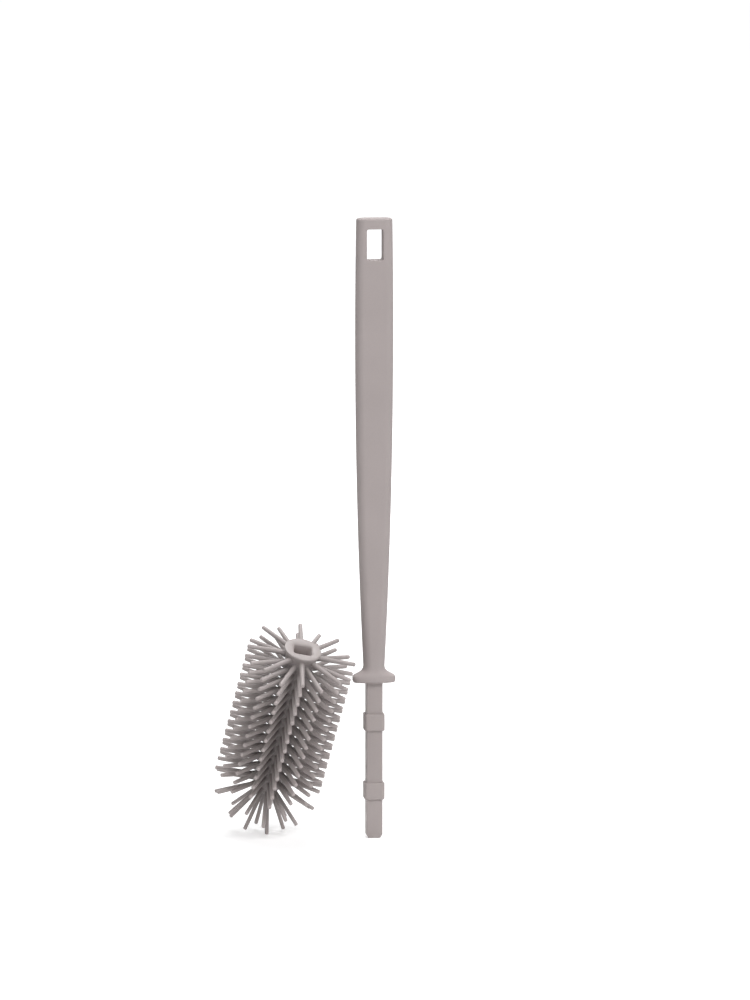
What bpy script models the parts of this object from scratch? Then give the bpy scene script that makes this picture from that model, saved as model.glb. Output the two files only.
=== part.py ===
"""A silicone bottle brush, laid out as it is photographed: the handle stands
upright, and the brush head, pulled off the stem, leans on its bristle tips
beside it.

The frame has +Z up and -Y to the front. Its origin is the middle of the upper
wall of the hanging slot, where a hook carries the brush.
"""

import math

import bmesh
import bpy
from mathutils import Matrix, Vector

MM = 0.001

# Gaps between neighbouring pieces
moulded_gap = 0.3 * MM
cut_overrun = 2.0 * MM

# Grip
grip_length = 239.0 * MM
grip_thickness = 9.0 * MM
belly_width = 19.5 * MM
belly_below_top = 59.6 * MM
neck_width = 10.9 * MM
side_round_width = 4.3 * MM
side_round_depth_share = 0.94
top_corner_round = 1.0 * MM
top_edge_round = 0.7 * MM
body_stations = 14
corner_steps = 4

# Flared collar at the grip's lower end
collar_width = 21.8 * MM
collar_depth = 12.0 * MM
collar_lip_height = 3.0 * MM
collar_edge_round = 0.9 * MM
flare_height = 8.9 * MM
flare_knee_height = 4.9 * MM
flare_knee_width = 11.0 * MM
flare_shoulder_width = 18.4 * MM
flare_steps = 6
collar_roundness_share = 0.97

# Hanging slot through the grip's upper end
slot_width = 8.4 * MM
slot_height = 16.0 * MM
slot_wall_above = 5.4 * MM
slot_corner = 1.0 * MM
slot_edge_round = 0.3 * MM

# Stem
stem_width = 8.3 * MM
stem_depth = 7.2 * MM
stem_length = 81.2 * MM
stem_corner = 0.6 * MM
stem_tip_chamfer = 1.0 * MM
stem_tip_chamfer_length = 1.8 * MM
spine_below_slot = 12.0 * MM

# Friction bands round the stem
band_height = 8.8 * MM
band_rise = 1.05 * MM
band_corner = 1.6 * MM
band_edge_round = 0.6 * MM
upper_band_below_collar = 16.3 * MM
lower_band_above_tip = 20.3 * MM
band_groove_depth = 0.6 * MM

# Socket in the head, for the stem and its bands
socket_clearance = 0.4 * MM
band_recess_clearance = 0.1 * MM
socket_end_clearance = 0.5 * MM
socket_corner = 1.2 * MM
lead_in_width = 0.9 * MM
lead_in_depth = 1.2 * MM

# Core tube of the head, with its flared rim
core_radius = 6.8 * MM
rim_radius = 9.6 * MM
rim_thickness = 1.2 * MM
rim_edge_round = 1.0 * MM
rim_to_first_row = 3.9 * MM
core_segments = 32

# Bristle columns round the core
column_count = 16
backing_thickness = 0.6 * MM
row_pitch = 5.91 * MM
row_count = 14
tip_circle_radius = 28.2 * MM
root_height = 2.8 * MM
root_width = 2.6 * MM
tip_height = 2.2 * MM
tip_width = 2.1 * MM
tip_round_length = 0.5 * MM
tip_round_share = 0.55
root_depth_share = 0.5

# Domed end, with its three rings of bristles and one at the pole
dome_below_last_row = 2.3 * MM
dome_steps = 6
outer_ring_dip_degrees = 12.0
middle_ring_dip_degrees = 26.6
inner_ring_dip_degrees = 57.0
inner_ring_turn_share = -0.25
dome_root_width = 2.0 * MM

# Where the head stands, seen from the handle's axis
head_left = 39.3 * MM
head_forward = 17.1 * MM
head_lean_forward_degrees = 24.8
head_lean_sideways_degrees = 11.1

# Heights along the handle
grip_top_z = slot_wall_above
slot_bottom_z = -slot_height
collar_z = grip_top_z - grip_length
stem_tip_z = collar_z - stem_length
upper_band_z = collar_z - upper_band_below_collar
lower_band_z = stem_tip_z + lower_band_above_tip + band_height
spine_top_z = slot_bottom_z - spine_below_slot

# Heights along the head, whose own frame has its rim face at zero
first_row_z = -rim_to_first_row
last_row_z = first_row_z - (row_count - 1) * row_pitch
dome_centre_z = last_row_z - dome_below_last_row
backing_inner_radius = core_radius + moulded_gap
backing_outer_radius = backing_inner_radius + backing_thickness
column_top_z = first_row_z + root_height / 2 + moulded_gap
column_bottom_z = last_row_z - root_height / 2 - moulded_gap
dome_top_z = column_bottom_z - moulded_gap
core_bottom_z = dome_top_z + moulded_gap
socket_bottom_z = -(stem_length + socket_end_clearance)
column_angle = 2 * math.pi / column_count


def clear_scene():
    """Empty the scene of whatever it starts with."""
    for thing in list(bpy.data.objects):
        bpy.data.objects.remove(thing, do_unlink=True)


def make_collection(name):
    """A collection linked to the scene."""
    collection = bpy.data.collections.new(name)
    bpy.context.scene.collection.children.link(collection)
    return collection


def make_material(name, colour, roughness):
    """A matt moulded material, its colour in linear light."""
    material = bpy.data.materials.new(name)
    material.use_nodes = True
    shader = material.node_tree.nodes["Principled BSDF"]
    shader.inputs["Base Color"].default_value = (*colour, 1.0)
    shader.inputs["Roughness"].default_value = roughness
    shader.inputs["Metallic"].default_value = 0.0
    return material


def rounded_outline(width, depth, round_x, round_y):
    """A rectangle with elliptical corners, centred, anticlockwise from above."""
    points = []
    for quarter in range(4):
        middle = math.pi / 2 * (quarter + 0.5)
        side_x = math.copysign(1, math.cos(middle))
        side_y = math.copysign(1, math.sin(middle))
        for step in range(corner_steps + 1):
            angle = math.pi / 2 * (quarter + step / corner_steps)
            x = side_x * (width / 2 - round_x) + round_x * math.cos(angle)
            y = side_y * (depth / 2 - round_y) + round_y * math.sin(angle)
            points.append((x, y))
    return points


def level_section(outline, height):
    """An outline lifted to a height."""
    return [Vector((x, y, height)) for x, y in outline]


def skin_sections(sections):
    """A closed mesh over sections that each have as many points.

    The sections' points run anticlockwise as seen from the last section.
    """
    mesh = bmesh.new()
    rings = [[mesh.verts.new(point) for point in section] for section in sections]
    count = len(sections[0])
    for lower, upper in zip(rings, rings[1:]):
        for index in range(count):
            following = (index + 1) % count
            mesh.faces.new((lower[index], lower[following], upper[following], upper[index]))
    mesh.faces.new(list(reversed(rings[0])))
    mesh.faces.new(rings[-1])
    return mesh


def place_mesh(mesh, name, collection, material=None):
    """Turn a bmesh into an object, smooth but for its sharp edges."""
    data = bpy.data.meshes.new(name)
    mesh.to_mesh(data)
    mesh.free()
    data.shade_smooth()
    data.set_sharp_from_angle(angle=math.radians(40))
    thing = bpy.data.objects.new(name, data)
    collection.objects.link(thing)
    if material:
        data.materials.append(material)
    else:
        thing.hide_render = True
        thing.display_type = "WIRE"
    return thing


def combine(target, tool, operation):
    """Cut a target with a tool, or join the tool to it."""
    modifier = target.modifiers.new(operation.title() + " " + tool.name, "BOOLEAN")
    modifier.operation = operation
    modifier.solver = "EXACT"
    modifier.object = tool


def grip_width_at(height):
    """The grip's width: one long arc from the belly to the neck."""
    belly_z = grip_top_z - belly_below_top
    neck_z = collar_z + flare_height
    share = (belly_z - height) / (belly_z - neck_z)
    return belly_width - (belly_width - neck_width) * share ** 2


def grip_outline(width, depth):
    """The grip's cross-section, flat in front with nearly round sides."""
    round_x = min(side_round_width, side_round_depth_share * width / 2)
    return rounded_outline(width, depth, round_x, side_round_depth_share * depth / 2)


def bezier(start, first, second, end, share):
    """A point on a cubic curve."""
    rest = 1 - share
    return (rest ** 3 * start + 3 * rest ** 2 * share * first
            + 3 * rest * share ** 2 * second + share ** 3 * end)


def collar_sections():
    """The collar from its flat underside up to the grip's neck."""
    round_x = collar_roundness_share * collar_width / 2
    round_y = side_round_depth_share * grip_thickness / 2
    sections = []
    for step in range(corner_steps + 1):
        angle = math.pi / 2 * step / corner_steps
        inset = collar_edge_round * (1 - math.sin(angle))
        rise = collar_edge_round * (1 - math.cos(angle))
        outline = rounded_outline(collar_width - 2 * inset, collar_depth - 2 * inset,
                                  round_x - inset, round_y - inset)
        sections.append(level_section(outline, collar_z + rise))
    for step in range(flare_steps):
        share = step / flare_steps
        height = bezier(collar_lip_height, flare_knee_height, flare_knee_height, flare_height, share)
        width = bezier(collar_width, flare_shoulder_width, flare_knee_width, neck_width, share)
        spread = (width - neck_width) / (collar_width - neck_width)
        depth = grip_thickness + spread * (collar_depth - grip_thickness)
        grown_x = side_round_width + spread * (round_x - side_round_width)
        outline = rounded_outline(width, depth, grown_x, round_y)
        sections.append(level_section(outline, collar_z + height))
    return sections


def body_sections():
    """The grip from its neck to its rounded upper end."""
    neck_z = collar_z + flare_height
    shoulder_z = grip_top_z - top_corner_round
    sections = []
    for step in range(body_stations + 1):
        height = neck_z + (shoulder_z - neck_z) * step / body_stations
        outline = grip_outline(grip_width_at(height), grip_thickness)
        sections.append(level_section(outline, height))
    for step in range(1, corner_steps + 1):
        angle = math.pi / 2 * step / corner_steps
        side_inset = top_corner_round * (1 - math.cos(angle))
        face_inset = top_edge_round * (1 - math.cos(angle))
        height = shoulder_z + top_corner_round * math.sin(angle)
        width = grip_width_at(shoulder_z) - 2 * side_inset
        outline = grip_outline(width, grip_thickness - 2 * face_inset)
        sections.append(level_section(outline, height))
    return sections


def slot_cutter(cutters):
    """The hanging slot, its mouths eased, cut front to back."""
    half_thickness = grip_thickness / 2
    stations = (
        (-half_thickness - cut_overrun, slot_edge_round + cut_overrun),
        (-half_thickness + slot_edge_round, 0),
        (half_thickness - slot_edge_round, 0),
        (half_thickness + cut_overrun, slot_edge_round + cut_overrun),
    )
    sections = []
    for depth, widening in stations:
        corner = slot_corner + widening
        outline = rounded_outline(slot_width + 2 * widening, slot_height + 2 * widening, corner, corner)
        sections.append([Vector((-x, depth, y - slot_height / 2)) for x, y in outline])
    mesh = skin_sections(list(reversed(sections)))
    bmesh.ops.recalc_face_normals(mesh, faces=mesh.faces)
    return place_mesh(mesh, "slot_cutter", cutters)


def spine_cutter(cutters):
    """The bore that the moulded grip leaves round the stem's spine."""
    width = stem_width + 2 * moulded_gap
    depth = stem_depth + 2 * moulded_gap
    corner = stem_corner + moulded_gap
    outline = rounded_outline(width, depth, corner, corner)
    sections = [
        level_section(outline, collar_z - cut_overrun),
        level_section(outline, spine_top_z + moulded_gap),
    ]
    return place_mesh(skin_sections(sections), "spine_cutter", cutters)


def build_grip(parts, cutters, material):
    """The moulded grip, with its collar, slot and bore."""
    mesh = skin_sections(collar_sections() + body_sections())
    grip = place_mesh(mesh, "handle_grip", parts, material)
    combine(grip, slot_cutter(cutters), "DIFFERENCE")
    combine(grip, spine_cutter(cutters), "DIFFERENCE")
    return grip


def build_stem(parts, material):
    """The stiff stem, grooved for its bands, with its spine inside the grip."""
    full = (stem_width, stem_depth, stem_corner)
    groove = (stem_width - 2 * band_groove_depth, stem_depth - 2 * band_groove_depth,
              stem_corner)
    tip = (stem_width - 2 * stem_tip_chamfer, stem_depth - 2 * stem_tip_chamfer, stem_corner)
    stations = [(stem_tip_z, tip), (stem_tip_z + stem_tip_chamfer_length, full)]
    for band_top in (lower_band_z, upper_band_z):
        band_bottom = band_top - band_height
        stations.append((band_bottom - moulded_gap, full))
        stations.append((band_bottom - moulded_gap, groove))
        stations.append((band_top + moulded_gap, groove))
        stations.append((band_top + moulded_gap, full))
    stations.append((spine_top_z, full))
    sections = []
    for height, (width, depth, corner) in stations:
        outline = rounded_outline(width, depth, corner, corner)
        sections.append(level_section(outline, height))
    return place_mesh(skin_sections(sections), "stem", parts, material)


def build_band(name, top_z, parts, cutters, material):
    """A soft band that fills its groove and stands proud of the stem."""
    width = stem_width + 2 * band_rise
    depth = stem_depth + 2 * band_rise
    sections = []
    for end, centre in ((-1, top_z - band_height + band_edge_round), (1, top_z - band_edge_round)):
        steps = range(corner_steps + 1) if end < 0 else range(corner_steps, -1, -1)
        for step in steps:
            angle = math.pi / 2 * step / corner_steps
            inset = band_edge_round * (1 - math.sin(angle))
            offset = band_edge_round * math.cos(angle)
            outline = rounded_outline(width - 2 * inset, depth - 2 * inset,
                                      band_corner - inset, band_corner - inset)
            sections.append(level_section(outline, centre + end * offset))
    band = place_mesh(skin_sections(sections), name, parts, material)
    hole_inset = band_groove_depth - moulded_gap
    hole = rounded_outline(stem_width - 2 * hole_inset, stem_depth - 2 * hole_inset,
                           stem_corner + moulded_gap, stem_corner + moulded_gap)
    hole_sections = [
        level_section(hole, top_z - band_height - cut_overrun),
        level_section(hole, top_z + cut_overrun),
    ]
    combine(band, place_mesh(skin_sections(hole_sections), name + "_cutter", cutters), "DIFFERENCE")
    return band


def turned(points, name, segments, collection, material):
    """A solid of revolution from profile points given top to bottom."""
    mesh = bmesh.new()
    verts = [mesh.verts.new((radius, 0, height)) for radius, height in points]
    for start, end in zip(verts, verts[1:]):
        mesh.edges.new((start, end))
    thing = place_mesh(mesh, name, collection, material)
    screw = thing.modifiers.new("Turn", "SCREW")
    screw.steps = segments
    screw.render_steps = segments
    screw.use_merge_vertices = True
    screw.merge_threshold = 0.00001
    return thing


def socket_cutter(cutters, head):
    """The socket: lead-in, stem bore, and a snap recess for each band."""
    bore_width = stem_width + 2 * socket_clearance
    bore_depth = stem_depth + 2 * socket_clearance
    recess_rise = band_rise + band_recess_clearance - socket_clearance
    recess_corner = band_corner + band_recess_clearance
    stations = [(socket_bottom_z, 0, socket_corner)]
    for band_top in (lower_band_z - collar_z, upper_band_z - collar_z):
        band_bottom = band_top - band_height
        stations.append((band_bottom - recess_rise, 0, socket_corner))
        stations.append((band_bottom, recess_rise, recess_corner))
        stations.append((band_top, recess_rise, recess_corner))
        stations.append((band_top + recess_rise, 0, socket_corner))
    stations.append((-lead_in_depth, 0, socket_corner))
    stations.append((0, lead_in_width, socket_corner + lead_in_width))
    stations.append((cut_overrun, lead_in_width, socket_corner + lead_in_width))
    sections = []
    for height, rise, corner in stations:
        outline = rounded_outline(bore_width + 2 * rise, bore_depth + 2 * rise, corner, corner)
        sections.append(level_section(outline, height))
    cutter = place_mesh(skin_sections(sections), "socket_cutter", cutters)
    cutter.parent = head
    return cutter


def build_core(parts, cutters, head, material):
    """The head's core tube, flared at the rim and closed at its foot."""
    flare_bottom_z = column_top_z + moulded_gap
    points = [(0, 0), (rim_radius - rim_edge_round, 0)]
    for step in range(1, corner_steps + 1):
        angle = math.pi / 2 * step / corner_steps
        radius = rim_radius - rim_edge_round * (1 - math.sin(angle))
        points.append((radius, -rim_edge_round * (1 - math.cos(angle))))
    points.append((rim_radius, -rim_thickness))
    points.append((backing_outer_radius, flare_bottom_z))
    points.append((core_radius, flare_bottom_z))
    points.append((core_radius, core_bottom_z))
    points.append((0, core_bottom_z))
    core = turned(points, "head_core", core_segments, parts, material)
    core.parent = head
    combine(core, socket_cutter(cutters, head), "DIFFERENCE")
    return core


def add_bristle(mesh, foot, tip, across, along, root_size):
    """Add one four-sided bristle, tapered and eased at its end."""
    direction = (tip - foot).normalized()
    stations = (
        (foot, root_size, 1.0),
        (tip - tip_round_length * direction, (tip_width, tip_height), 1.0),
        (tip, (tip_width, tip_height), tip_round_share),
    )
    corners = ((-0.5, -0.5), (0.5, -0.5), (0.5, 0.5), (-0.5, 0.5))
    rings = []
    for centre, (width, height), scale in stations:
        ring = []
        for side, rise in corners:
            offset = side * width * scale * across + rise * height * scale * along
            ring.append(mesh.verts.new(centre + offset))
        rings.append(ring)
    for lower, upper in zip(rings, rings[1:]):
        for index in range(len(corners)):
            following = (index + 1) % len(corners)
            mesh.faces.new((lower[index], lower[following], upper[following], upper[index]))
    mesh.faces.new(list(reversed(rings[0])))
    mesh.faces.new(rings[-1])


def radial_bristle(mesh, foot_radius, angle, dip, centre_z, width):
    """Add a bristle that points away from the core's axis, dipped below level."""
    level = Vector((math.cos(angle), math.sin(angle), 0))
    down = Vector((0, 0, -1))
    direction = math.cos(dip) * level + math.sin(dip) * down
    along = math.cos(dip) * down - math.sin(dip) * level
    across = direction.cross(along)
    centre = Vector((0, 0, centre_z))
    add_bristle(mesh, centre + foot_radius * direction, centre + tip_circle_radius * direction,
                -across, -along, (width, root_height))


def column_rows(index):
    """The heights of a column's bristles: odd columns sit half a pitch lower."""
    staggered = index % 2
    count = row_count - staggered
    start_z = first_row_z - staggered * row_pitch / 2
    return [start_z - row * row_pitch for row in range(count)]


def bristles_object(mesh, name, head, cutters):
    """A set of loose bristles, ready to be joined to their backing."""
    bmesh.ops.recalc_face_normals(mesh, faces=mesh.faces)
    bristles = place_mesh(mesh, name + "_bristles", cutters)
    bristles.parent = head
    return bristles


def build_column(index, parts, cutters, head, material):
    """One column: a slice of the core's skin with its row of bristles."""
    name = "bristle_column_{:02d}".format(index + 1)
    half_gap = moulded_gap / (2 * math.cos(column_angle / 2))
    inner_half = backing_inner_radius * math.tan(column_angle / 2) - half_gap
    outer_half = backing_outer_radius * math.tan(column_angle / 2) - half_gap
    outline = (
        (backing_inner_radius, -inner_half),
        (backing_outer_radius, -outer_half),
        (backing_outer_radius, outer_half),
        (backing_inner_radius, inner_half),
    )
    turn = Matrix.Rotation(index * column_angle, 3, "Z")
    sections = []
    for height in (column_bottom_z, column_top_z):
        sections.append([turn @ point for point in level_section(outline, height)])
    column = place_mesh(skin_sections(sections), name, parts, material)
    column.parent = head
    foot_radius = backing_inner_radius + root_depth_share * backing_thickness
    bristles = bmesh.new()
    for height in column_rows(index):
        radial_bristle(bristles, foot_radius, index * column_angle, 0, height, root_width)
    combine(column, bristles_object(bristles, name, head, cutters), "UNION")
    return column


def dome_bristles():
    """The dome's bristles: three rings of eight, and one at the pole."""
    mesh = bmesh.new()
    foot_radius = core_radius
    odd_turn = column_angle
    rings = (
        (outer_ring_dip_degrees, odd_turn),
        (middle_ring_dip_degrees, 0),
        (inner_ring_dip_degrees, odd_turn + inner_ring_turn_share * column_angle),
    )
    for dip, turn in rings:
        for index in range(column_count // 2):
            angle = turn + 2 * index * column_angle
            radial_bristle(mesh, foot_radius, angle, math.radians(dip), dome_centre_z, dome_root_width)
    radial_bristle(mesh, foot_radius, 0, math.pi / 2, dome_centre_z, dome_root_width)
    return mesh


def build_dome(parts, cutters, head, material):
    """The round end of the moulded head, with its bristles."""
    points = [(0, dome_top_z), (backing_outer_radius, dome_top_z)]
    for step in range(dome_steps + 1):
        angle = math.pi / 2 * step / dome_steps
        radius = backing_outer_radius * math.cos(angle)
        height = dome_centre_z - backing_outer_radius * math.sin(angle)
        points.append((max(radius, 0), height))
    points[-1] = (0, dome_centre_z - backing_outer_radius)
    dome = turned(points, "bristle_dome", column_count, parts, material)
    dome.parent = head
    combine(dome, bristles_object(dome_bristles(), "dome", head, cutters), "UNION")
    return dome


def head_turn():
    """The head's lean: forward at the rim, and over to its right."""
    forward = Matrix.Rotation(math.radians(head_lean_forward_degrees), 4, "X")
    sideways = Matrix.Rotation(math.radians(head_lean_sideways_degrees), 4, "Y")
    return sideways @ forward


def head_height(turn):
    """The rim's height when the lowest bristle tips rest level with the stem's tip."""
    mesh = dome_bristles()
    lowest = min((turn @ vert.co).z for vert in mesh.verts)
    mesh.free()
    return stem_tip_z - lowest


def make_head_frame(parts):
    """An empty at the rim's centre, on the head's axis, that carries the head."""
    head = bpy.data.objects.new("brush_head_frame", None)
    parts.objects.link(head)
    turn = head_turn()
    first_row = Vector((-head_left, -head_forward, 0))
    rim = first_row + turn @ Vector((0, 0, rim_to_first_row))
    head.matrix_world = Matrix.Translation((rim.x, rim.y, head_height(turn))) @ turn
    return head


def build():
    """Model the whole brush."""
    clear_scene()
    parts = make_collection("silicone_bottle_brush")
    cutters = make_collection("cutters")
    grip_silicone = make_material("grip_silicone", (0.423, 0.371, 0.361), 0.55)
    stem_plastic = make_material("stem_plastic", (0.402, 0.352, 0.342), 0.5)
    band_silicone = make_material("band_silicone", (0.404, 0.356, 0.347), 0.6)
    head_silicone = make_material("head_silicone", (0.448, 0.393, 0.381), 0.6)
    build_grip(parts, cutters, grip_silicone)
    build_stem(parts, stem_plastic)
    build_band("upper_stem_band", upper_band_z, parts, cutters, band_silicone)
    build_band("lower_stem_band", lower_band_z, parts, cutters, band_silicone)
    head = make_head_frame(parts)
    build_core(parts, cutters, head, head_silicone)
    for index in range(column_count):
        build_column(index, parts, cutters, head, head_silicone)
    build_dome(parts, cutters, head, head_silicone)


build()
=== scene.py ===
import math

import bmesh
import bpy
from mathutils import Matrix, Quaternion, Vector


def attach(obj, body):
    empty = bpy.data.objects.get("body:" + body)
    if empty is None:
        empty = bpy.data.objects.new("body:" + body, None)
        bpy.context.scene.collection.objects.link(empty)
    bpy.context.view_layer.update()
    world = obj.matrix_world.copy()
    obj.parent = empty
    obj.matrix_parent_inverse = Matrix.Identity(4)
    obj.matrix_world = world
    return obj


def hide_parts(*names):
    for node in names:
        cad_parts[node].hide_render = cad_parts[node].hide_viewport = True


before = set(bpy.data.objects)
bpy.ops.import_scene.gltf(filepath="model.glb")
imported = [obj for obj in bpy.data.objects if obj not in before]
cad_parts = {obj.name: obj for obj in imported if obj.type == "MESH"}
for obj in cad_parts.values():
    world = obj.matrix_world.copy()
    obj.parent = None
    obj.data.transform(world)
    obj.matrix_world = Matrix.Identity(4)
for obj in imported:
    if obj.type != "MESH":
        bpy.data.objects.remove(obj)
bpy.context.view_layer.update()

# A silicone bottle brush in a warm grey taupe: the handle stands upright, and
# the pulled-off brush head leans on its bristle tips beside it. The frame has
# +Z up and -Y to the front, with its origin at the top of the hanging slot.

MM = 0.001

# Grip
GRIP_TOP = 5.4 * MM
GRIP_THICKNESS = 9.0 * MM
COLLAR_BOTTOM = -233.6 * MM
BELLY_WIDTH = 19.5 * MM
BELLY_BELOW_TOP = 59.6 * MM
NECK_WIDTH = 10.9 * MM
SIDE_ROUND_WIDTH = 4.3 * MM
SIDE_ROUND_DEPTH_SHARE = 0.94
TOP_CORNER_ROUND = 1.0 * MM
TOP_EDGE_ROUND = 0.7 * MM
GRIP_STATIONS = 90
CORNER_STEPS = 14
END_STEPS = 8

# Collar
COLLAR_WIDTH = 21.8 * MM
COLLAR_DEPTH = 12.0 * MM
COLLAR_EDGE_ROUND = 0.9 * MM
LIP_HEIGHT = 3.0 * MM
FLARE_KNEE_HEIGHT = 4.9 * MM
FLARE_HEIGHT = 8.9 * MM
FLARE_SHOULDER_WIDTH = 18.4 * MM
FLARE_KNEE_WIDTH = 11.0 * MM
COLLAR_ROUNDNESS_SHARE = 0.97
FLARE_STEPS = 28

# Hanging slot
SLOT_WIDTH = 8.4 * MM
SLOT_HEIGHT = 16.0 * MM
SLOT_CORNER = 1.0 * MM
SLOT_EDGE_ROUND = 0.3 * MM
SLOT_EDGE_ANGLES = (12, 30, 50, 70, 90)
CUT_OVERRUN = 2.0 * MM

# Stem and its bands
STEM_WIDTH = 8.3 * MM
STEM_DEPTH = 7.2 * MM
STEM_CORNER = 0.6 * MM
STEM_CORNER_STEPS = 6
STEM_TIP = -314.8 * MM
STEM_TIP_CHAMFER = 1.0 * MM
STEM_TIP_CHAMFER_LENGTH = 1.8 * MM
STEM_TIP_EDGE_ROUND = 0.2 * MM
STEM_TIP_STEPS = 3
SPINE_TOP = -28.0 * MM
SPINE_GAP = 0.05 * MM
UPPER_BAND_TOP = -249.9 * MM
LOWER_BAND_TOP = -285.7 * MM
BAND_HEIGHT = 8.8 * MM
BAND_RISE = 1.05 * MM
BAND_CORNER = 1.6 * MM
BAND_CORNER_STEPS = 10
BAND_EDGE_ROUND = 0.6 * MM
BAND_GROOVE_DEPTH = 0.6 * MM

# Brush head, in its own frame: +Z out of the rim, along the axis. A fall is a
# way down from the rim, and a grid step is a quarter of the way to the next column.
RIM_CENTRE = Vector((-38.618, -18.736, -212.759)) * MM
LEAN_FORWARD = math.radians(24.8)
LEAN_SIDEWAYS = math.radians(11.1)
CORE_RADIUS = 7.4 * MM
RIM_RADIUS = 9.6 * MM
RIM_HEIGHT = 1.0 * MM
RIM_EDGE_ROUND = 0.5 * MM
RIM_EDGE_STEPS = 4
FUNNEL_LENGTH = 3.2 * MM
FUNNEL_TOP_FALL = 1.2 * MM
FUNNEL_STEPS = 3
FIRST_ROW_FALL = 3.9 * MM
FIRST_PEAK_FALL = 1.55 * MM
ROW_PITCH = 5.91 * MM
LONG_COLUMN_ROWS = 14
COLUMNS = 16
GRID_STEPS = 4
DOME_FALL = 83.03 * MM
TIP_REACH = 28.2 * MM

# In the columns, a bristle's patch of skin is a hexagon with two sides along the head
COLUMN_SPACING = CORE_RADIUS * 2 * math.pi / COLUMNS
PATCH_HALF_SIDE = (ROW_PITCH ** 2 / 4 - COLUMN_SPACING ** 2) / ROW_PITCH

# Bristles
ROOT_RADIUS = 1.35 * MM
TIP_RADIUS = 1.05 * MM
ROOT_FILLET = 0.65 * MM
DOME_ROOT_RADIUS = 1.05 * MM
DOME_TIP_RADIUS = 0.98 * MM
TIP_ROUND = 0.65 * MM
FILLET_ANGLES = (0, 30, 60, 90)
TIP_ANGLES = (0, 30, 60, 90)
REACH_SHARE = 0.96

# A cross product that is shorter than this has no direction
NO_LENGTH = 0.001

# Dips of the dome's rings and of the borders between them, in degrees
OUTER_RING_DIP = 12.0
MIDDLE_RING_DIP = 26.6
INNER_RING_DIP = 57.0
POLE_DIP = 90.0
LAST_PEAK_DIP = 2.0
OUTER_BORDER_DIP = 34.8
MIDDLE_BORDER_DIP = 41.5
POLE_BORDER_DIP = 73.0

# Inner ring: the parts of a patch's two sides, and the ring's turn in grid steps
INNER_SIDE_PARTS = 3
INNER_RING_TURN_STEPS = 1

# Socket
BORE_WIDTH = 9.1 * MM
BORE_DEPTH = 8.0 * MM
BORE_CORNER = 1.4 * MM
BORE_CORNER_STEPS = 8
BORE_SIDE_STEPS = 4
LEAD_IN_ROUND = 1.4 * MM
LEAD_IN_STEPS = 6
RECESS_RISE = 0.75 * MM
RECESS_CORNER = 2.2 * MM
SOCKET_BOTTOM = -81.7 * MM

# Edges are shaded sharp from these angles, in degrees, and points this near are merged
CREASE = 40
HEAD_CREASE = 50
CUT_MERGE = 0.001 * MM
SEAM_MERGE = 0.002 * MM

# Camera, with its angles in degrees
CAMERA_AZIMUTH = -7.0
CAMERA_ELEVATION = 8.5
CAMERA_ROLL = 0.05
CAMERA_TARGET = Vector((0.0005, 0, -0.1394))
CAMERA_DISTANCE = 3.5485
CAMERA_LENS = 250.0
CAMERA_SENSOR_WIDTH = 36.0
CAMERA_CLIP_END = 100.0

# Lamps
LAMP_AIM = Vector((-0.02, 0, -0.2))
LAMP_DISTANCE = 2.5
LAMP_SIZE = 0.8

# Floor: further off, the glow that is seen goes to white and the light it gives fades out
WHITE = (1, 1, 1, 1)
FLOOR_HALF_SIZE = 30.0
FLOOR_DROP = 0.02 * MM
FLOOR_CENTRE = (-0.02, 0, STEM_TIP)
FLOOR_COLOUR = (0.80, 0.80, 0.80, 1)
FLOOR_ROUGHNESS = 0.9
SEEN_GLOW = 0.50
WHITE_FROM = 0.25
WHITE_BY = 1.6
NEAR_BOUNCE = 0.24
NEAR_REACH = 0.16

# Colours of the mouldings
GRIP_COLOUR = (0.431, 0.382, 0.376)
STEM_COLOUR = (0.406, 0.358, 0.351)
BAND_COLOUR = (0.420, 0.372, 0.364)
HEAD_COLOUR = (0.402, 0.358, 0.351)

# Surface of the mouldings: a slow drift and a fine speckle of the colour, an
# uneven roughness, and a grain, with noise scales per metre
SHEEN = 0.06
SHEEN_ROUGHNESS = 0.45
NOISE_SPAN = (0.3, 0.7)
DRIFT_SCALE = 28.0
DRIFT_DETAIL = 3.0
DRIFT_TONES = (0.975, 1.025)
SPECKLE_SCALE = 1400.0
SPECKLE_DETAIL = 2.0
SPECKLE_TONES = (0.985, 1.015)
UNEVEN_SCALE = 350.0
UNEVEN_DETAIL = 2.0
UNEVEN_ROUGHNESS = 0.05
GRAIN_SCALE = 2600.0
GRAIN_DETAIL = 3.0
GRAIN_HEIGHT = 0.05 * MM

# The head's painted light and shade, as shares of its colour, by place on the head: painted
# shade deep at its core among the bristles, and painted light at its thin tips, rim and socket
# wall, in part for light that soaks through thin silicone
CORE_PAINTED_SHADE = 0.56
TIP_PAINTED_LIGHT = 1.16
RIM_PAINTED_TONE = 0.93
RIM_PAINTED_TONE_DEPTH = 8.0 * MM
SOCKET_PAINTED_LIGHT = 1.35
SOCKET_PAINTED_LIGHT_RADIUS = 6.4 * MM
SOCKET_PAINTED_LIGHT_DEPTH = 2.0 * MM


# Node helpers
def feed(tree, value, socket):
    """Link a node's output to a socket, or set a fixed value on it."""
    if isinstance(value, bpy.types.NodeSocket):
        tree.links.new(value, socket)
    else:
        socket.default_value = value


def math_step(tree, operation, first, second):
    """The result of a math node on two values."""
    node = tree.nodes.new("ShaderNodeMath")
    node.operation = operation
    feed(tree, first, node.inputs[0])
    feed(tree, second, node.inputs[1])
    return node.outputs["Value"]


def vector_step(tree, operation, first, second):
    """A vector math node on two vectors."""
    node = tree.nodes.new("ShaderNodeVectorMath")
    node.operation = operation
    feed(tree, first, node.inputs[0])
    feed(tree, second, node.inputs[1])
    return node


def scaled(tree, vector, factor):
    """A fixed vector or colour times a value."""
    node = tree.nodes.new("ShaderNodeVectorMath")
    node.operation = "SCALE"
    node.inputs[0].default_value = vector
    tree.links.new(factor, node.inputs["Scale"])
    return node.outputs["Vector"]


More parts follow.
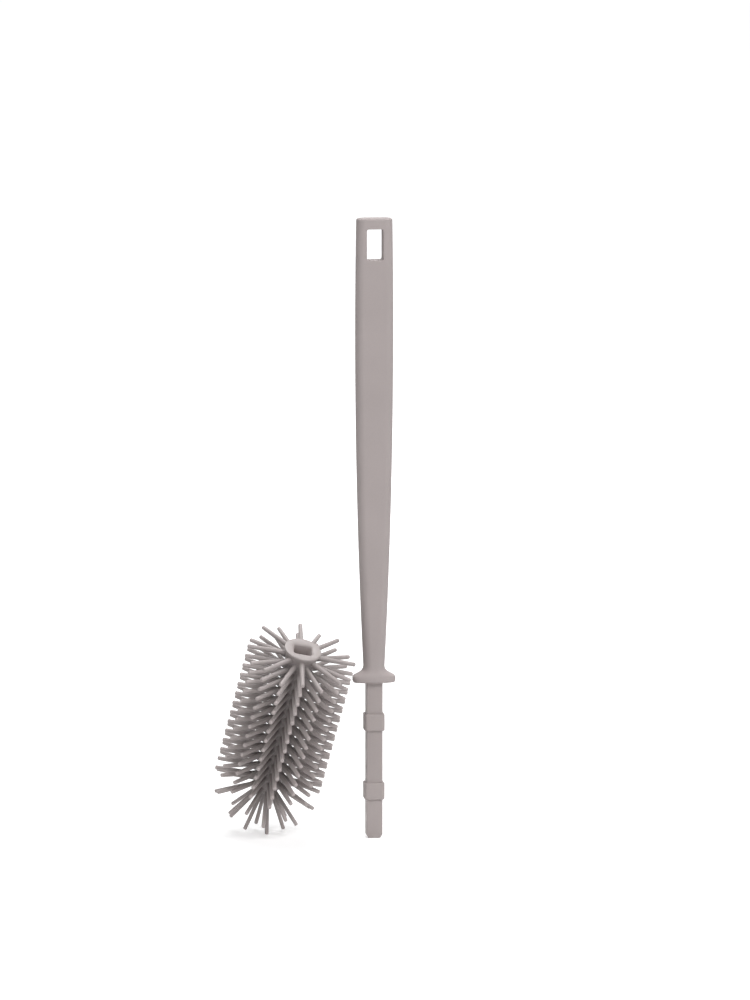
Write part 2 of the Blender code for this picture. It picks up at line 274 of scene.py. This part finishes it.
def blend(tree, share, first, second):
    """A value that goes from a first one to a second by a share."""
    node = tree.nodes.new("ShaderNodeMix")
    feed(tree, share, node.inputs["Factor"])
    feed(tree, first, node.inputs["A"])
    feed(tree, second, node.inputs["B"])
    return node.outputs["Result"]


def ramp(tree, value, start, end, low, high, smooth=False):
    """A value with the span from start to end turned into that from low to high."""
    node = tree.nodes.new("ShaderNodeMapRange")
    if smooth:
        node.interpolation_type = "SMOOTHSTEP"
    node.inputs["From Min"].default_value = start
    node.inputs["From Max"].default_value = end
    node.inputs["To Min"].default_value = low
    node.inputs["To Max"].default_value = high
    tree.links.new(value, node.inputs["Value"])
    return node.outputs["Result"]


def noise(tree, place, scale, detail):
    """A noise over the places of a surface."""
    node = tree.nodes.new("ShaderNodeTexNoise")
    node.inputs["Scale"].default_value = scale
    node.inputs["Detail"].default_value = detail
    tree.links.new(place, node.inputs["Vector"])
    return node.outputs["Fac"]


def seen_directly(tree):
    """A value of 1 for what the camera sees, straight or by gloss or glass, else 0."""
    path = tree.nodes.new("ShaderNodeLightPath")
    straight_or_gloss = math_step(
        tree, "MAXIMUM", path.outputs["Is Camera Ray"], path.outputs["Is Glossy Ray"])
    return math_step(
        tree, "MAXIMUM", straight_or_gloss, path.outputs["Is Transmission Ray"])


# Camera and light
def stand_facing(name, data, target, azimuth, elevation, distance):
    """An object that faces a target from angles right of the front and up, in degrees."""
    turn = math.radians(azimuth)
    rise = math.radians(elevation)
    way = Vector((
        math.sin(turn) * math.cos(rise),
        -math.cos(turn) * math.cos(rise),
        math.sin(rise),
    ))
    thing = bpy.data.objects.new(name, data)
    thing.location = target + way * distance
    thing.rotation_mode = "QUATERNION"
    thing.rotation_quaternion = (-way).to_track_quat("-Z", "Y")
    bpy.context.scene.collection.objects.link(thing)
    return thing


def make_camera():
    """The photograph's camera: far off, a little to the left and a little above."""
    data = bpy.data.cameras.new("camera")
    data.lens = CAMERA_LENS
    data.sensor_width = CAMERA_SENSOR_WIDTH
    data.clip_end = CAMERA_CLIP_END
    camera = stand_facing("camera", data, CAMERA_TARGET,
                          CAMERA_AZIMUTH, CAMERA_ELEVATION, CAMERA_DISTANCE)
    roll = Quaternion((0, 0, 1), math.radians(CAMERA_ROLL))
    camera.rotation_quaternion = camera.rotation_quaternion @ roll
    bpy.context.scene.camera = camera


def background(tree, strength):
    """A white background of a fixed strength."""
    node = tree.nodes.new("ShaderNodeBackground")
    node.inputs["Color"].default_value = WHITE
    node.inputs["Strength"].default_value = strength
    return node.outputs["Background"]


def make_world():
    """A studio that looks white, also in gloss, and gives no other light."""
    world = bpy.data.worlds.new("studio")
    bpy.context.scene.world = world
    world.use_nodes = True
    tree = world.node_tree
    tree.nodes.clear()
    mix = tree.nodes.new("ShaderNodeMixShader")
    out = tree.nodes.new("ShaderNodeOutputWorld")
    tree.links.new(seen_directly(tree), mix.inputs["Fac"])
    tree.links.new(background(tree, 0.0), mix.inputs[1])
    tree.links.new(background(tree, 1.0), mix.inputs[2])
    tree.links.new(mix.outputs["Shader"], out.inputs["Surface"])


def make_lamp(name, azimuth, elevation, power):
    """A square soft box that faces the brush."""
    data = bpy.data.lights.new(name, "AREA")
    data.shape = "SQUARE"
    data.size = LAMP_SIZE
    data.energy = power
    stand_facing(name, data, LAMP_AIM, azimuth, elevation, LAMP_DISTANCE)


def make_lamps():
    """The soft boxes: most light comes from above, and more from the right than the left."""
    make_lamp("top_softbox", azimuth=0, elevation=90, power=18.0)
    make_lamp("front_softbox", azimuth=-20, elevation=5, power=5.0)
    make_lamp("high_left_softbox", azimuth=-50, elevation=45, power=8.5)
    make_lamp("high_front_softbox", azimuth=0, elevation=45, power=14.0)
    make_lamp("high_right_softbox", azimuth=45, elevation=45, power=25.0)
    make_lamp("right_softbox", azimuth=90, elevation=8, power=5.0)
    make_lamp("high_back_softbox", azimuth=170, elevation=60, power=26.0)


def floor_look():
    """Plain white, which keeps the brush's shadow and throws some light up near it."""
    material = bpy.data.materials.new("white_floor")
    material.use_nodes = True
    tree = material.node_tree
    shader = tree.nodes["Principled BSDF"]
    shader.inputs["Base Color"].default_value = FLOOR_COLOUR
    shader.inputs["Roughness"].default_value = FLOOR_ROUGHNESS
    shader.inputs["Specular IOR Level"].default_value = 0.0
    where = tree.nodes.new("ShaderNodeNewGeometry").outputs["Position"]
    away = vector_step(tree, "DISTANCE", where, FLOOR_CENTRE).outputs["Value"]
    bounce = ramp(tree, away, 0, NEAR_REACH, NEAR_BOUNCE, 0, smooth=True)
    seen = ramp(tree, away, WHITE_FROM, WHITE_BY, SEEN_GLOW, 1, smooth=True)
    glow = tree.nodes.new("ShaderNodeEmission")
    glow.inputs["Color"].default_value = WHITE
    tree.links.new(blend(tree, seen_directly(tree), bounce, seen), glow.inputs["Strength"])
    add = tree.nodes.new("ShaderNodeAddShader")
    tree.links.new(shader.outputs["BSDF"], add.inputs[0])
    tree.links.new(glow.outputs["Emission"], add.inputs[1])
    tree.links.new(add.outputs["Shader"], tree.nodes["Material Output"].inputs["Surface"])
    return material


def make_floor():
    """A floor just under the stem's tip."""
    mesh = bmesh.new()
    bmesh.ops.create_grid(mesh, x_segments=1, y_segments=1, size=FLOOR_HALF_SIZE)
    bmesh.ops.translate(mesh, verts=mesh.verts, vec=(0, 0, STEM_TIP - FLOOR_DROP))
    data = bpy.data.meshes.new("floor")
    mesh.to_mesh(data)
    mesh.free()
    floor = bpy.data.objects.new("floor", data)
    bpy.context.scene.collection.objects.link(floor)
    data.materials.append(floor_look())


# Materials
def painted_light_and_shade_tone(tree, place):
    """The head's painted light and shade by place: lighter at its thin tips, rim and socket
    wall, deeper at its core.

    It is painted into the colour. In part it stands for light that soaks through thin silicone.
    In part it is painted shade among the bristles and painted light in the socket's mouth, which
    the lamps alone don't give.
    """
    axis = head_matrix().to_3x3() @ Vector((0, 0, 1))
    from_rim = vector_step(tree, "SUBTRACT", place, RIM_CENTRE).outputs["Vector"]
    height = vector_step(tree, "DOT_PRODUCT", from_rim, axis).outputs["Value"]
    hub = scaled(tree, axis, math_step(tree, "MAXIMUM", height, -DOME_FALL))
    reach = vector_step(tree, "DISTANCE", from_rim, hub).outputs["Value"]
    # Painted shade deep at the core, painted light out at the tips
    tone = ramp(tree, reach, CORE_RADIUS, TIP_REACH, CORE_PAINTED_SHADE, TIP_PAINTED_LIGHT)
    near_rim = ramp(tree, height, -RIM_PAINTED_TONE_DEPTH, -RIM_HEIGHT, 0, 1)
    tone = blend(tree, near_rim, tone, RIM_PAINTED_TONE)
    # Painted light on the socket's wall at its mouth
    inside = ramp(tree, reach, SOCKET_PAINTED_LIGHT_RADIUS, CORE_RADIUS, 1, 0)
    at_mouth = ramp(tree, height, -SOCKET_PAINTED_LIGHT_DEPTH, 0, 1, 0)
    in_socket = math_step(tree, "MULTIPLY", inside, at_mouth)
    return blend(tree, in_socket, tone, SOCKET_PAINTED_LIGHT)


def moulded(name, colour, roughness, gloss, grain, with_painted_light_and_shade=False):
    """A matt moulding: a fine grain, a slight drift and speckle of its colour, and, if asked,
    the head's painted light and shade.
    """
    material = bpy.data.materials.new(name)
    material.use_nodes = True
    tree = material.node_tree
    shader = tree.nodes["Principled BSDF"]
    shader.inputs["Roughness"].default_value = roughness
    shader.inputs["Sheen Weight"].default_value = SHEEN
    shader.inputs["Sheen Roughness"].default_value = SHEEN_ROUGHNESS
    shader.inputs["Specular IOR Level"].default_value = gloss
    place = tree.nodes.new("ShaderNodeTexCoord").outputs["Object"]

    drift = noise(tree, place, DRIFT_SCALE, DRIFT_DETAIL)
    speckle = noise(tree, place, SPECKLE_SCALE, SPECKLE_DETAIL)
    tone = math_step(
        tree, "MULTIPLY",
        ramp(tree, drift, *NOISE_SPAN, *DRIFT_TONES),
        ramp(tree, speckle, *NOISE_SPAN, *SPECKLE_TONES),
    )
    # Painted light and shade by place on the head, partly for light soaking through thin
    # silicone
    if with_painted_light_and_shade:
        tone = math_step(tree, "MULTIPLY", tone, painted_light_and_shade_tone(tree, place))
    tree.links.new(scaled(tree, colour, tone), shader.inputs["Base Color"])

    uneven = noise(tree, place, UNEVEN_SCALE, UNEVEN_DETAIL)
    smoother = roughness - UNEVEN_ROUGHNESS
    rougher = roughness + UNEVEN_ROUGHNESS
    tree.links.new(
        ramp(tree, uneven, *NOISE_SPAN, smoother, rougher), shader.inputs["Roughness"])

    bump = tree.nodes.new("ShaderNodeBump")
    bump.inputs["Strength"].default_value = grain
    bump.inputs["Distance"].default_value = GRAIN_HEIGHT
    tree.links.new(noise(tree, place, GRAIN_SCALE, GRAIN_DETAIL), bump.inputs["Height"])
    tree.links.new(bump.outputs["Normal"], shader.inputs["Normal"])
    return material


# Mesh helpers
def finish_piece(mesh, name, material, body, nodes, crease=CREASE):
    """Turn a bmesh into a shown piece that rides on a body and stands for CAD nodes."""
    data = bpy.data.meshes.new(name)
    mesh.to_mesh(data)
    mesh.free()
    data.shade_smooth()
    data.set_sharp_from_angle(angle=math.radians(crease))
    data.materials.append(material)
    piece = bpy.data.objects.new(name, data)
    bpy.context.scene.collection.objects.link(piece)
    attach(piece, body)
    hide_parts(*nodes)


def quarter_turn(steps):
    """The angles of a quarter turn in even steps."""
    return [math.pi / 2 * step / steps for step in range(steps + 1)]


def straight_run(start, end, parts):
    """Points along a straight run, without its end."""
    return [
        tuple(a + (b - a) * part / parts for a, b in zip(start, end))
        for part in range(parts)
    ]


def rounded_outline(width, depth, round_x, round_y,
                    corner_steps=CORNER_STEPS, side_steps=0):
    """A rectangle with elliptical corners, anticlockwise from its +X side."""
    points = []
    for quarter in range(4):
        middle = math.pi / 2 * (quarter + 0.5)
        centre_x = math.copysign(width / 2 - round_x, math.cos(middle))
        centre_y = math.copysign(depth / 2 - round_y, math.sin(middle))
        arc = []
        for step in range(corner_steps + 1):
            angle = math.pi / 2 * (quarter + step / corner_steps)
            arc.append((
                centre_x + round_x * math.cos(angle),
                centre_y + round_y * math.sin(angle),
            ))
        along_x = quarter % 2 == 0
        start = (arc[0][0], 0) if along_x else (0, arc[0][1])
        end = (0, arc[-1][1]) if along_x else (arc[-1][0], 0)
        points.extend(straight_run(start, arc[0], side_steps))
        points.extend(arc if side_steps == 0 else arc[:-1])
        points.extend(straight_run(arc[-1], end, side_steps))
    return points


def level(outline, height):
    """An outline lifted to a height."""
    return [Vector((x, y, height)) for x, y in outline]


def bridge(mesh, lower, upper):
    """Faces between two rings that have as many points."""
    count = len(lower)
    for index in range(count):
        following = (index + 1) % count
        mesh.faces.new((lower[index], lower[following], upper[following], upper[index]))


def skin(mesh, sections):
    """Faces over sections that have as many points; gives the rings of their points."""
    rings = [[mesh.verts.new(point) for point in section] for section in sections]
    for lower, upper in zip(rings, rings[1:]):
        bridge(mesh, lower, upper)
    return rings


def closed_skin(sections):
    """A closed mesh over sections, which run anticlockwise seen from the last one."""
    mesh = bmesh.new()
    rings = skin(mesh, sections)
    mesh.faces.new(list(reversed(rings[0])))
    mesh.faces.new(rings[-1])
    return mesh


def cut(mesh, *cutters):
    """The mesh with the cutters taken away, as a new bmesh."""
    collection = bpy.context.scene.collection
    things = []
    for shape in (mesh, *cutters):
        data = bpy.data.meshes.new("cutting")
        shape.to_mesh(data)
        shape.free()
        thing = bpy.data.objects.new("cutting", data)
        collection.objects.link(thing)
        things.append(thing)
    for tool in things[1:]:
        step = things[0].modifiers.new("Cut", "BOOLEAN")
        step.operation = "DIFFERENCE"
        step.solver = "EXACT"
        step.object = tool
    graph = bpy.context.evaluated_depsgraph_get()
    result = bmesh.new()
    result.from_object(things[0], graph)
    for thing in things:
        data = thing.data
        bpy.data.objects.remove(thing, do_unlink=True)
        bpy.data.meshes.remove(data)
    bmesh.ops.remove_doubles(result, verts=result.verts, dist=CUT_MERGE)
    return result


# Handle
def grip_width_at(height):
    """The grip's width: one long arc from the belly to the neck."""
    belly = GRIP_TOP - BELLY_BELOW_TOP
    neck = COLLAR_BOTTOM + FLARE_HEIGHT
    share = (belly - height) / (belly - neck)
    return BELLY_WIDTH - (BELLY_WIDTH - NECK_WIDTH) * share ** 2


def curve(start, first, second, end, share):
    """A point on a cubic curve."""
    rest = 1 - share
    return (rest ** 3 * start + 3 * rest ** 2 * share * first
            + 3 * rest * share ** 2 * second + share ** 3 * end)


def collar_sections():
    """The collar, from its flat underside to the neck."""
    round_x = COLLAR_ROUNDNESS_SHARE * COLLAR_WIDTH / 2
    round_y = SIDE_ROUND_DEPTH_SHARE * GRIP_THICKNESS / 2
    sections = []
    for angle in quarter_turn(END_STEPS):
        inset = COLLAR_EDGE_ROUND * (1 - math.sin(angle))
        rise = COLLAR_EDGE_ROUND * (1 - math.cos(angle))
        outline = rounded_outline(COLLAR_WIDTH - 2 * inset, COLLAR_DEPTH - 2 * inset,
                                  round_x - inset, round_y - inset)
        sections.append(level(outline, COLLAR_BOTTOM + rise))
    for step in range(FLARE_STEPS):
        share = step / FLARE_STEPS
        height = curve(LIP_HEIGHT, FLARE_KNEE_HEIGHT, FLARE_KNEE_HEIGHT, FLARE_HEIGHT, share)
        width = curve(COLLAR_WIDTH, FLARE_SHOULDER_WIDTH, FLARE_KNEE_WIDTH, NECK_WIDTH, share)
        spread = (width - NECK_WIDTH) / (COLLAR_WIDTH - NECK_WIDTH)
        depth = GRIP_THICKNESS + spread * (COLLAR_DEPTH - GRIP_THICKNESS)
        grown_x = SIDE_ROUND_WIDTH + spread * (round_x - SIDE_ROUND_WIDTH)
        outline = rounded_outline(width, depth, grown_x, round_y)
        sections.append(level(outline, COLLAR_BOTTOM + height))
    return sections


def body_sections():
    """The grip from its neck to its rounded upper end."""
    neck = COLLAR_BOTTOM + FLARE_HEIGHT
    shoulder = GRIP_TOP - TOP_CORNER_ROUND
    stations = []
    for step in range(GRIP_STATIONS + 1):
        height = neck + (shoulder - neck) * step / GRIP_STATIONS
        stations.append((height, grip_width_at(height), GRIP_THICKNESS))
    for angle in quarter_turn(END_STEPS)[1:]:
        drawn_in = 2 * (1 - math.cos(angle))
        stations.append((
            shoulder + TOP_CORNER_ROUND * math.sin(angle),
            grip_width_at(shoulder) - TOP_CORNER_ROUND * drawn_in,
            GRIP_THICKNESS - TOP_EDGE_ROUND * drawn_in,
        ))
    sections = []
    for height, width, depth in stations:
        round_x = min(SIDE_ROUND_WIDTH, SIDE_ROUND_DEPTH_SHARE * width / 2)
        round_y = SIDE_ROUND_DEPTH_SHARE * depth / 2
        sections.append(level(rounded_outline(width, depth, round_x, round_y), height))
    return sections


def slot_cutter():
    """The hanging slot, front to back, with rounded mouths."""
    half = GRIP_THICKNESS / 2
    stations = []
    for angle in map(math.radians, SLOT_EDGE_ANGLES):
        depth = half - SLOT_EDGE_ROUND + SLOT_EDGE_ROUND * math.cos(angle)
        widening = SLOT_EDGE_ROUND * (1 - math.sin(angle))
        stations.append((depth, widening))
    mouth_depth, mouth_widening = stations[0]
    stations.insert(0, (mouth_depth + CUT_OVERRUN, mouth_widening + CUT_OVERRUN))
    stations = [(-depth, widening) for depth, widening in stations] + stations[::-1]
    sections = []
    for depth, widening in stations:
        corner = SLOT_CORNER + widening
        outline = rounded_outline(
            SLOT_WIDTH + 2 * widening, SLOT_HEIGHT + 2 * widening, corner, corner)
        sections.append([Vector((-x, depth, y - SLOT_HEIGHT / 2)) for x, y in outline])
    mesh = closed_skin(list(reversed(sections)))
    bmesh.ops.recalc_face_normals(mesh, faces=mesh.faces)
    return mesh


def spine_cutter():
    """The bore that the moulded grip leaves round the stem's spine."""
    corner = STEM_CORNER + SPINE_GAP
    outline = rounded_outline(
        STEM_WIDTH + 2 * SPINE_GAP, STEM_DEPTH + 2 * SPINE_GAP, corner, corner)
    return closed_skin([
        level(outline, COLLAR_BOTTOM - CUT_OVERRUN),
        level(outline, SPINE_TOP + SPINE_GAP),
    ])


def make_grip(material):
    """The moulded grip with its collar and hanging slot."""
    mesh = closed_skin(collar_sections() + body_sections())
    mesh = cut(mesh, slot_cutter(), spine_cutter())
    finish_piece(mesh, "grip_moulding", material, "handle", ["handle_grip"])


def stem_outline(inset):
    """The stem's outline, drawn in by an inset."""
    return rounded_outline(STEM_WIDTH - 2 * inset, STEM_DEPTH - 2 * inset,
                           STEM_CORNER, STEM_CORNER, STEM_CORNER_STEPS)


def make_stem(material):
    """The stiff stem, grooved for its bands, with its spine inside the grip."""
    stations = []
    for angle in quarter_turn(STEM_TIP_STEPS):
        stations.append((
            STEM_TIP + STEM_TIP_EDGE_ROUND * (1 - math.cos(angle)),
            STEM_TIP_CHAMFER + STEM_TIP_EDGE_ROUND * (1 - math.sin(angle)),
        ))
    stations.append((STEM_TIP + STEM_TIP_CHAMFER_LENGTH, 0))
    for band_top in (LOWER_BAND_TOP, UPPER_BAND_TOP):
        band_bottom = band_top - BAND_HEIGHT
        stations.append((band_bottom, 0))
        stations.append((band_bottom, BAND_GROOVE_DEPTH))
        stations.append((band_top, BAND_GROOVE_DEPTH))
        stations.append((band_top, 0))
    stations.append((SPINE_TOP, 0))
    mesh = closed_skin([level(stem_outline(inset), height) for height, inset in stations])
    finish_piece(mesh, "stem_bar", material, "handle", ["stem"])


def make_band(name, node, top, material):
    """A soft band that fills its groove and stands proud of the stem."""
    width = STEM_WIDTH + 2 * BAND_RISE
    depth = STEM_DEPTH + 2 * BAND_RISE
    lower_centre = top - BAND_HEIGHT + BAND_EDGE_ROUND
    upper_centre = top - BAND_EDGE_ROUND
    angles = quarter_turn(END_STEPS)
    sections = []
    for side, centre, turn in ((-1, lower_centre, angles), (1, upper_centre, angles[::-1])):
        for angle in turn:
            inset = BAND_EDGE_ROUND * (1 - math.sin(angle))
            corner = BAND_CORNER - inset
            outline = rounded_outline(
                width - 2 * inset, depth - 2 * inset, corner, corner, BAND_CORNER_STEPS)
            sections.append(level(outline, centre + side * BAND_EDGE_ROUND * math.cos(angle)))
    hole = stem_outline(BAND_GROOVE_DEPTH)
    cutter = closed_skin([
        level(hole, top - BAND_HEIGHT - CUT_OVERRUN),
        level(hole, top + CUT_OVERRUN),
    ])
    mesh = cut(closed_skin(sections), cutter)
    finish_piece(mesh, name, material, "handle", [node])


# Brush head
def skin_radius(fall):
    """The core's radius at a fall, with the funnel under the rim."""
    swell = (RIM_RADIUS - CORE_RADIUS) * math.exp((RIM_HEIGHT - fall) / FUNNEL_LENGTH)
    return CORE_RADIUS + swell


def on_core(turn, fall):
    """A point on the core: an angle round it, and a way down along its skin."""
    if fall <= DOME_FALL:
        radius = skin_radius(fall)
        height = -fall
    else:
        dip = (fall - DOME_FALL) / CORE_RADIUS
        radius = CORE_RADIUS * math.cos(dip)
        height = -DOME_FALL - CORE_RADIUS * math.sin(dip)
    return Vector((radius * math.cos(turn), radius * math.sin(turn), height))


def drawn_to_core(point):
    """A nearby point moved straight in or out to the core's skin."""
    centre = Vector((0, 0, max(point.z, -DOME_FALL)))
    radius = skin_radius(-point.z) if point.z > -DOME_FALL else CORE_RADIUS
    return centre + (point - centre).normalized() * radius


def dome_fall(dip):
    """The way down the core's skin to a dip on its dome, in degrees."""
    return DOME_FALL + CORE_RADIUS * math.radians(dip)


def grid_turn(step):
    """The angle round the core of a grid step."""
    return 2 * math.pi * step / (COLUMNS * GRID_STEPS)


def core_ring(falls):
    """Points once round the core, one for each grid step, at their falls."""
    return [on_core(grid_turn(step), fall) for step, fall in enumerate(falls)]


def border(corners, side_parts=1):
    """Points along runs between corners: one a grid step, or side_parts straight down."""
    points = []
    for (start, start_fall), (end, end_fall) in zip(corners, corners[1:] + corners[:1]):
        parts = abs(end - start) or side_parts
        for part in range(parts):
            share = part / parts
            points.append((
                start + (end - start) * share,
                start_fall + (end_fall - start_fall) * share,
            ))
    return points


def bristle_axes(root):
    """The point of the head's axis behind a root, the way out, and two ways across."""
    hub = Vector((0, 0, max(root.z, -DOME_FALL)))
    out = (root - hub).normalized()
    across = Vector((0, 0, 1)).cross(out)
    across = across.normalized() if across.length > NO_LENGTH else Vector((1, 0, 0))
    return hub, out, across, out.cross(across)


def clearance(outline):
    """How near the lines of a flat outline come to the origin."""
    return min(
        abs(ax * by - ay * bx) / math.hypot(bx - ax, by - ay)
        for (ax, ay), (bx, by) in zip(outline, outline[1:] + outline[:1])
    )


def evened(angles):
    """Even angles that follow given ones, and how far each given one is ahead."""
    count = len(angles)
    steps = [2 * math.pi * index / count for index in range(count)]
    lag = [
        math.remainder(angle - step - angles[0], 2 * math.pi)
        for angle, step in zip(angles, steps)
    ]
    offset = angles[0] + sum(lag) / count
    even = [offset + step for step in steps]
    gaps = [math.remainder(a - b, 2 * math.pi) for a, b in zip(angles, even)]
    return even, gaps


def bristle_cell(mesh, centre_step, centre_fall, edge, root_radius, tip_radius):
    """One bristle with its patch of the core's skin, out to the patch's border."""
    root = on_core(grid_turn(centre_step), centre_fall)
    hub, out, across, along = bristle_axes(root)
    rim = [on_core(grid_turn(step), fall) for step, fall in edge]
    flat = [((point - root).dot(across), (point - root).dot(along)) for point in rim]
    fillet = min(ROOT_FILLET, REACH_SHARE * clearance(flat) - root_radius)
    even, gaps = evened([math.atan2(y, x) for x, y in flat])

    def ring(radius, on_skin, lift, evenness):
        points = []
        for angle, gap in zip(even, gaps):
            turned = angle + gap * (1 - evenness)
            point = root + radius * (math.cos(turned) * across + math.sin(turned) * along)
            point = drawn_to_core(point) if on_skin else point
            points.append(point + lift * out)
        return points

    sections = [rim]
    for angle in FILLET_ANGLES:
        leaning = math.radians(angle)
        radius = root_radius + fillet * (1 - math.sin(leaning))
        lift = fillet * (1 - math.cos(leaning))
        sections.append(ring(radius, True, lift, angle / FILLET_ANGLES[-1]))
    length = TIP_REACH - (root - hub).length
    for angle in TIP_ANGLES:
        leaning = math.radians(angle)
        radius = tip_radius - TIP_ROUND * (1 - math.cos(leaning))
        lift = length - TIP_ROUND * (1 - math.sin(leaning))
        sections.append(ring(radius, False, lift, 1))
    mesh.faces.new(skin(mesh, sections)[-1])


def column_cells(mesh):
    """The bristles of the columns, every second one half a pitch lower."""
    point_reach = ROW_PITCH / 2 - PATCH_HALF_SIDE
    wide = GRID_STEPS
    for column in range(COLUMNS):
        lower = column % 2
        count = LONG_COLUMN_ROWS - lower
        step = column * GRID_STEPS
        for row in range(count):
            fall = FIRST_ROW_FALL + (row + lower / 2) * ROW_PITCH
            side_top = fall - PATCH_HALF_SIDE
            side_bottom = fall + PATCH_HALF_SIDE
            top = fall - point_reach
            bottom = fall + point_reach
            if not lower and row == 0:
                top = FIRST_PEAK_FALL
            if not lower and row == count - 1:
                bottom = dome_fall(LAST_PEAK_DIP)
            edge = border([
                (step + wide, side_bottom), (step + wide, side_top), (step, top),
                (step - wide, side_top), (step - wide, side_bottom), (step, bottom),
            ])
            bristle_cell(mesh, step, fall, edge, ROOT_RADIUS, TIP_RADIUS)


def dome_cells(mesh):
    """The dome's three rings of eight bristles, and the one at its pole."""
    wide = GRID_STEPS
    valley = FIRST_ROW_FALL + (LONG_COLUMN_ROWS - 1) * ROW_PITCH + PATCH_HALF_SIDE
    peak = dome_fall(LAST_PEAK_DIP)
    outer = dome_fall(OUTER_BORDER_DIP)
    middle = dome_fall(MIDDLE_BORDER_DIP)
    pole = dome_fall(POLE_BORDER_DIP)
    for index in range(COLUMNS // 2):
        even = 2 * index * GRID_STEPS
        odd = even + wide
        turned = odd - INNER_RING_TURN_STEPS
        cells = (
            (odd, OUTER_RING_DIP, 1,
             [(odd, valley), (odd - wide, peak), (odd, outer), (odd + wide, peak)]),
            (even, MIDDLE_RING_DIP, 1,
             [(even, peak), (even - wide, outer), (even - wide, middle),
              (even + wide, middle), (even + wide, outer)]),
            (turned, INNER_RING_DIP, INNER_SIDE_PARTS,
             [(turned + wide, middle), (turned - wide, middle),
              (turned - wide, pole), (turned + wide, pole)]),
        )
        for step, dip, side_parts, corners in cells:
            edge = border(corners, side_parts)
            bristle_cell(mesh, step, dome_fall(dip), edge, DOME_ROOT_RADIUS, DOME_TIP_RADIUS)
    around = [(-step, pole) for step in range(COLUMNS * GRID_STEPS)]
    bristle_cell(mesh, 0, dome_fall(POLE_DIP), around, DOME_ROOT_RADIUS, DOME_TIP_RADIUS)


def funnel_sections():
    """The funnel, from the zigzag border of the first bristles up to the rim."""
    count = COLUMNS * GRID_STEPS
    valley = FIRST_ROW_FALL - PATCH_HALF_SIDE
    zigzag = []
    for step in range(count):
        away = abs(math.remainder(step, 2 * GRID_STEPS)) / GRID_STEPS
        zigzag.append(FIRST_PEAK_FALL + (valley - FIRST_PEAK_FALL) * away)
    sections = []
    for part in range(FUNNEL_STEPS + 1):
        share = part / FUNNEL_STEPS
        sections.append(core_ring([fall + (FUNNEL_TOP_FALL - fall) * share for fall in zigzag]))
    sections.append(core_ring([(FUNNEL_TOP_FALL + RIM_HEIGHT) / 2] * count))
    return sections


def rim_sections():
    """The rim's outer wall with its rounded edge."""
    turns = [grid_turn(step) for step in range(COLUMNS * GRID_STEPS)]
    sections = []
    for angle in quarter_turn(RIM_EDGE_STEPS):
        radius = RIM_RADIUS - RIM_EDGE_ROUND * (1 - math.cos(angle))
        height = -RIM_EDGE_ROUND * (1 - math.sin(angle))
        circle = [(radius * math.cos(turn), radius * math.sin(turn)) for turn in turns]
        sections.append(level(circle, height))
    return sections


def socket_sections():
    """The socket from its mouth to its end, with a recess for each band."""
    stations = []
    for angle in quarter_turn(LEAD_IN_STEPS):
        rise = LEAD_IN_ROUND * (1 - math.sin(angle))
        stations.append((-LEAD_IN_ROUND * (1 - math.cos(angle)), rise, BORE_CORNER + rise))
    for band_top in (UPPER_BAND_TOP - COLLAR_BOTTOM, LOWER_BAND_TOP - COLLAR_BOTTOM):
        stations.append((band_top + RECESS_RISE, 0, BORE_CORNER))
        stations.append((band_top, RECESS_RISE, RECESS_CORNER))
        stations.append((band_top - BAND_HEIGHT, RECESS_RISE, RECESS_CORNER))
        stations.append((band_top - BAND_HEIGHT - RECESS_RISE, 0, BORE_CORNER))
    stations.append((SOCKET_BOTTOM, 0, BORE_CORNER))
    sections = []
    for height, rise, corner in stations:
        outline = rounded_outline(BORE_WIDTH + 2 * rise, BORE_DEPTH + 2 * rise,
                                  corner, corner, BORE_CORNER_STEPS, BORE_SIDE_STEPS)
        sections.append(level(outline, height))
    return sections


def head_matrix():
    """Where the head leans, in the brush's frame."""
    lean = Matrix.Rotation(LEAN_SIDEWAYS, 4, "Y") @ Matrix.Rotation(LEAN_FORWARD, 4, "X")
    return Matrix.Translation(RIM_CENTRE) @ lean


def make_head(material):
    """The whole brush head as the one silicone moulding that it is."""
    mesh = bmesh.new()
    column_cells(mesh)
    dome_cells(mesh)
    rings = skin(mesh, funnel_sections() + rim_sections() + socket_sections())
    mesh.faces.new(rings[-1])
    bmesh.ops.remove_doubles(mesh, verts=mesh.verts, dist=SEAM_MERGE)
    mesh.transform(head_matrix())
    nodes = ["head_core", "bristle_dome"]
    nodes += ["bristle_column_{:02d}".format(index + 1) for index in range(COLUMNS)]
    finish_piece(mesh, "brush_head_moulding", material, "brush_head", nodes,
                 HEAD_CREASE)


def main():
    """Light the brush and dress its pieces."""
    bpy.context.scene.view_settings.view_transform = "Standard"
    make_camera()
    make_world()
    make_lamps()
    make_floor()
    make_grip(moulded("grip_silicone_look", GRIP_COLOUR, roughness=0.62, gloss=0.12, grain=0.15))
    make_stem(moulded("stem_plastic_look", STEM_COLOUR, roughness=0.45, gloss=0.25, grain=0.08))
    bands = moulded("band_silicone_look", BAND_COLOUR, roughness=0.58, gloss=0.15, grain=0.15)
    make_band("upper_band", "upper_stem_band", UPPER_BAND_TOP, bands)
    make_band("lower_band", "lower_stem_band", LOWER_BAND_TOP, bands)
    # The head's colour carries painted light and shade
    make_head(moulded("head_silicone_look", HEAD_COLOUR, roughness=0.48, gloss=0.35, grain=0.12,
                      with_painted_light_and_shade=True))


main()
